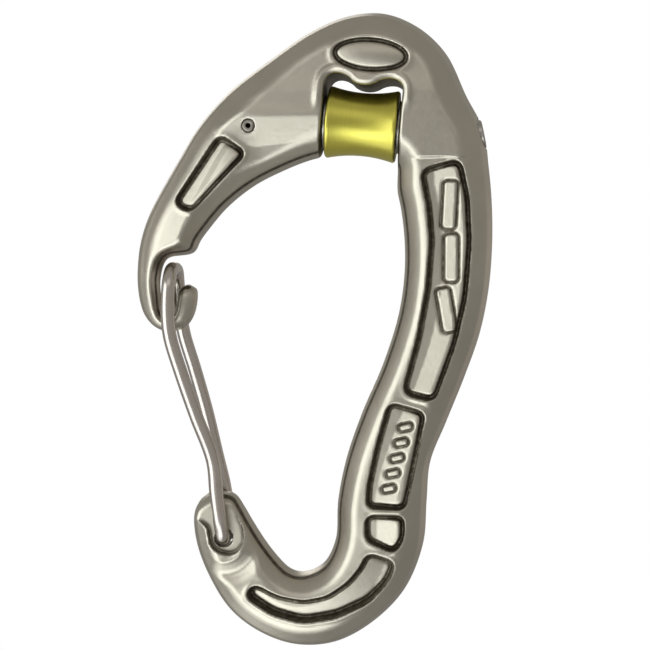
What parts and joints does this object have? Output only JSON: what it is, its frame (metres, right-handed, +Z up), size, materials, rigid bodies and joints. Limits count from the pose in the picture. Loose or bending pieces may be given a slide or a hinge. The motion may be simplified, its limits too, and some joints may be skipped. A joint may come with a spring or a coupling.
{
  "type": "wire-gate pulley carabiner",
  "caption": "Forged alloy wire-gate carabiner with a grooved rope roller on a cross axle in its wide end and a sprung bent-wire gate.",
  "frame": {"origin": "lowest point of the roller's groove, where the rope that carries the carabiner runs", "axes": "+Z up along the carabiner, from the basket to the roller end; +Y across its thickness, away from the face that shows; +X from the gate to the spine"},
  "size_m": [0.0633, 0.0128, 0.1121],
  "materials": {
    "frame_alloy": "tumbled satin grey",
    "gate_steel": "polished stainless wire",
    "roller_anodised": "satin yellow-green anodised",
    "bush_metal": "sintered plain bearing",
    "axle_steel": "ground steel",
    "pin_steel": "spring steel",
    "washer_steel": "stainless"
  },
  "bodies": {
    "frame_body": {"frame": "frame_alloy", "axle": "axle_steel", "axle_roll_pin": "pin_steel", "thrust_washer_left": "washer_steel", "thrust_washer_right": "washer_steel"},
    "gate_body": {"gate_wire": "gate_steel"},
    "roller_body": {"roller": "roller_anodised", "roller_bush": "bush_metal"}
  },
  "joints": [
    {"name": "gate_swing", "type": "hinge", "parent": "frame_body", "child": "gate_body", "pos_m": [-0.024, 0, -0.0676], "axis": [0, 1, 0], "range_deg": [0, 30], "stiffness_Nm_per_rad": 0.3, "springref_deg": -45.84},
    {"name": "roller_spin", "type": "hinge", "parent": "frame_body", "child": "roller_body", "pos_m": [0.00048, 0, 0.00548], "axis": [0.9962, 0, -0.0872], "continuous": true}
  ]
}
